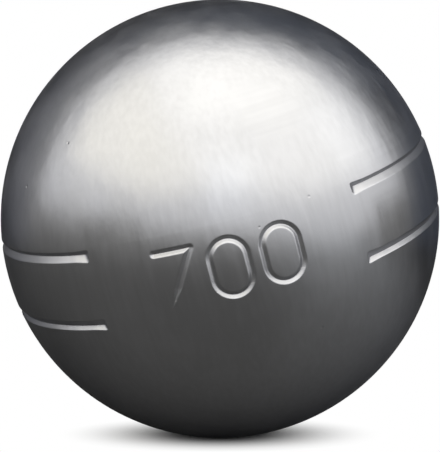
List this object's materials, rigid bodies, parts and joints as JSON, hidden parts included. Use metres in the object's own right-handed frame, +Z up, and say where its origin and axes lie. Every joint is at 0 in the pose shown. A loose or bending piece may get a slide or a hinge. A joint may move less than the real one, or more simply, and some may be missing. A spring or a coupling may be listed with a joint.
{
  "type": "petanque boule",
  "caption": "Hollow welded steel ball for petanque, ground to a satin finish, with interrupted V grooves round its middle for grip.",
  "frame": {"origin": "centre of the ball", "axes": "+Z up as the ball lies on the ground; -Y is the side seen first, which the plain gap in the grooves faces; the axis of grooves and weld leans 14.1 degrees to -X and 7.1 degrees to -Y"},
  "size_m": [0.074, 0.074, 0.074],
  "materials": {
    "shell_steel": "forged steel, ground and satin polished, with fine brush lines",
    "weld_steel": "weld metal, ground flush with the shells and polished with them"
  },
  "bodies": {
    "root": {"upper_half_shell": "shell_steel", "lower_half_shell": "shell_steel", "weld_bead": "weld_steel"}
  },
  "joints": []
}
